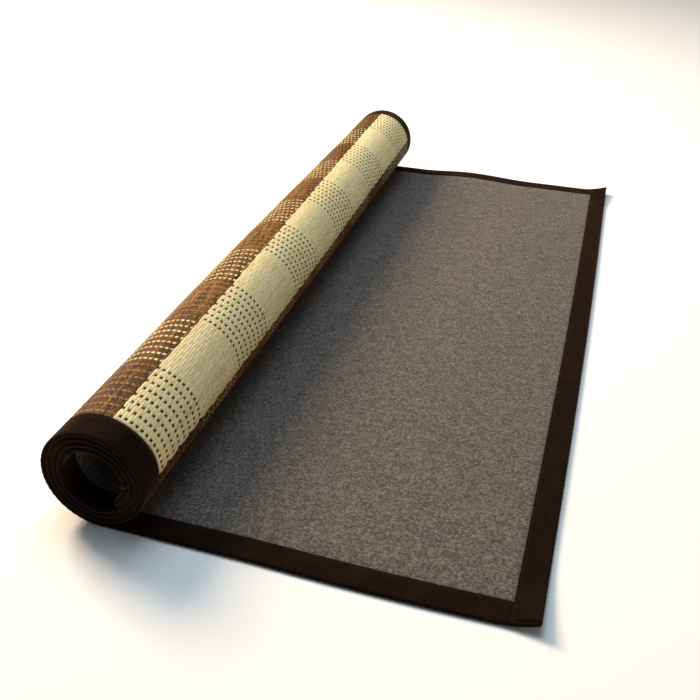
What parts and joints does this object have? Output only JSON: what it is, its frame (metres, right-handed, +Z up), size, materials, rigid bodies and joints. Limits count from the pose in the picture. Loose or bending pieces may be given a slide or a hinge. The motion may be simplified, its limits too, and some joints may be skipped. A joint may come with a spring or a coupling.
{
  "type": "woven rattan rug, part rolled",
  "caption": "Flat-woven rattan rug with a felt back and cloth-bound edges, lying face down with one end rolled up over itself.",
  "frame": {"origin": "middle of the footprint, on the surface that the rug lies on", "axes": "+Z up, +Y along the roll and across the rug, +X from the roll towards the free end"},
  "size_m": [0.5458, 1.2022, 0.1252],
  "materials": {
    "woven_rattan": "plain-woven rattan cord in cream and brown checks, satin",
    "grey_felt": "mottled heather grey needle felt, matte",
    "binding_cloth": "dark brown cotton binding, matte"
  },
  "bodies": {
    "root": {"woven_panel": "woven_rattan", "felt_backing": "grey_felt", "binding_near": "binding_cloth", "binding_far": "binding_cloth", "binding_free_end": "binding_cloth", "binding_inner_end": "binding_cloth"}
  },
  "joints": []
}
